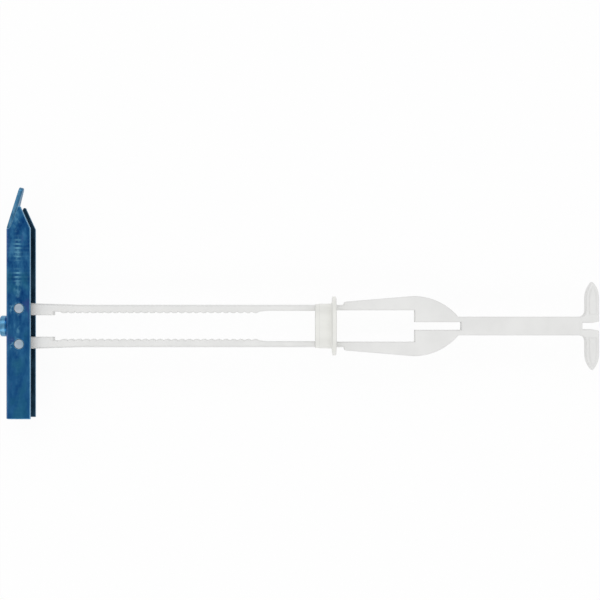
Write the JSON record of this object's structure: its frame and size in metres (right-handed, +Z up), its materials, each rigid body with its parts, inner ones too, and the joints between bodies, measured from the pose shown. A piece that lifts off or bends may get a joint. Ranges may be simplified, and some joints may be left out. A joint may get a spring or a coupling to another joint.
{
  "type": "strap toggle anchor",
  "caption": "Hollow-wall anchor: a threaded steel channel pinned across the ends of two toothed plastic straps with a pull handle, and a slotted collar that slides on them.",
  "frame": {"origin": "on the bolt's line, in the plane of the channel web's inner face, where the thread begins", "axes": "+X along the straps to the pull handle, +Y along the channel to its pointed nose, +Z up, across the flat faces"},
  "size_m": [0.1688, 0.0652, 0.0166],
  "materials": {
    "plated_steel": "blue zinc plating, satin, slightly iridescent",
    "strap_plastic": "natural white moulded nylon, satin",
    "collar_plastic": "white moulded plastic, satin"
  },
  "bodies": {
    "straps": {"straps": "strap_plastic"},
    "channel": {"channel": "plated_steel"},
    "collar": {"collar": "collar_plastic"}
  },
  "joints": [
    {"name": "collar_slide", "type": "slide", "parent": "straps", "child": "collar", "axis": [1, 0, 0], "range_m": [-0.0565, 0.002]},
    {"name": "channel_swing", "type": "hinge", "parent": "straps", "child": "channel", "pos_m": [0.0026, 0, 0], "axis": [0, 0, 1], "range_deg": [0, 90], "deforming": ["straps"]}
  ]
}
